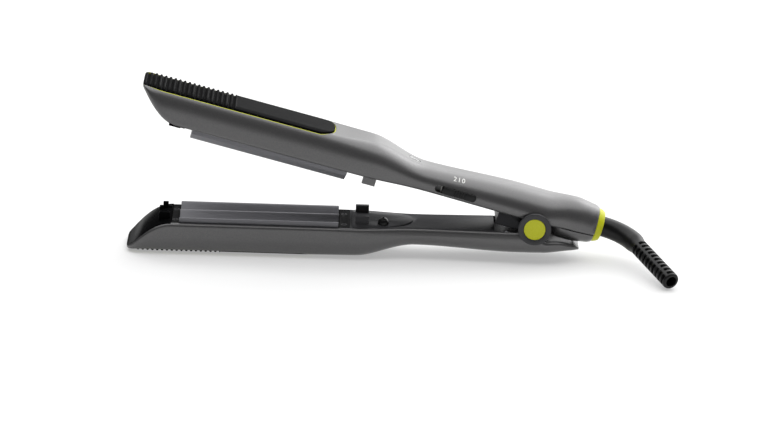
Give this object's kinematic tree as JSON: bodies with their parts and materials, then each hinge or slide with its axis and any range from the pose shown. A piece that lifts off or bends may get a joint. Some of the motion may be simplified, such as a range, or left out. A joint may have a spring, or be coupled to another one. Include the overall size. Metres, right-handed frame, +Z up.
{
  "type": "hair crimper",
  "caption": "Hair crimper with two hinged arms, meshing wave plates, ribbed grip panels, a side heat slider and a swivelling cord sleeve.",
  "frame": {"origin": "middle of the flat grip panel that the lower arm lies on, at the floor", "axes": "+X from the tips toward the cord, +Y across the arms away from the slider, +Z up from the floor"},
  "size_m": [0.3451, 0.077, 0.1111],
  "materials": {
    "shell_grey": "satin metallic lacquer",
    "black_plastic": "glossy",
    "grip_black": "soft matt",
    "cover_grey": "satin",
    "pale_plastic": "satin",
    "dark_plastic": "satin",
    "lime_plastic": "satin",
    "plate_aluminium": "satin",
    "steel": "bright",
    "heater_ceramic": "unglazed ceramic",
    "insulation_sheet": "plain",
    "sensor_casing": "plain",
    "black_rubber": "matte",
    "bronze": "plain",
    "circuit_board": "plain",
    "white_plastic": "plain",
    "clear_plastic": "clear"
  },
  "bodies": {
    "lower_arm": {"lower_housing": "shell_grey", "lower_nose_cover": "black_plastic", "lower_handle_cover": "cover_grey", "lower_carrier": "dark_plastic", "lower_wave_plate": "plate_aluminium", "lower_heater": "heater_ceramic", "lower_insulation": "insulation_sheet", "lower_heater_spring": "steel", "lower_thermal_fuse": "sensor_casing", "lower_grip_panel": "grip_black", "lower_trim_line": "lime_plastic", "rubber_stop": "black_rubber", "lower_carrier_screws": "steel", "hinge_bracket": "steel", "hinge_screws": "steel", "hinge_pin": "steel", "hinge_rings": "dark_plastic", "hinge_caps": "lime_plastic", "opening_spring": "steel"},
    "upper_arm": {"upper_housing": "shell_grey", "upper_nose_cover": "black_plastic", "upper_handle_cover": "cover_grey", "upper_rear_cover": "shell_grey", "upper_carrier": "dark_plastic", "upper_wave_plate": "plate_aluminium", "upper_heater": "heater_ceramic", "upper_insulation": "insulation_sheet", "upper_heater_spring": "steel", "upper_thermistor": "sensor_casing", "upper_grip_panel": "grip_black", "upper_trim_line": "lime_plastic", "upper_carrier_screws": "steel", "upper_cover_screws": "steel", "hinge_knuckle": "dark_plastic", "hinge_bushes": "bronze", "slider_track": "pale_plastic", "heat_switch": "dark_plastic", "control_board": "circuit_board", "status_led": "white_plastic", "indicator_window": "clear_plastic", "cord_terminal": "white_plastic", "cord_collar": "lime_plastic"},
    "heat_slider": {"slider_knob": "dark_plastic"},
    "cord_sleeve": {"strain_relief": "black_rubber"}
  },
  "joints": [
    {"name": "arm_hinge", "type": "hinge", "parent": "lower_arm", "child": "upper_arm", "pos_m": [0.175, 0, 0.0245], "axis": [0, -1, 0], "range_deg": [0, 14.2], "stiffness_Nm_per_rad": 0.6, "springref_deg": -57.3, "deforming": ["opening_spring"]},
    {"name": "heat_slide", "type": "slide", "parent": "upper_arm", "child": "heat_slider", "axis": [-0.9694, 0, 0.2453], "range_m": [0, 0.0045]},
    {"name": "cord_swivel", "type": "hinge", "parent": "upper_arm", "child": "cord_sleeve", "pos_m": [0.21368, 0, 0.02245], "axis": [0.9694, 0, -0.2453], "continuous": true}
  ]
}
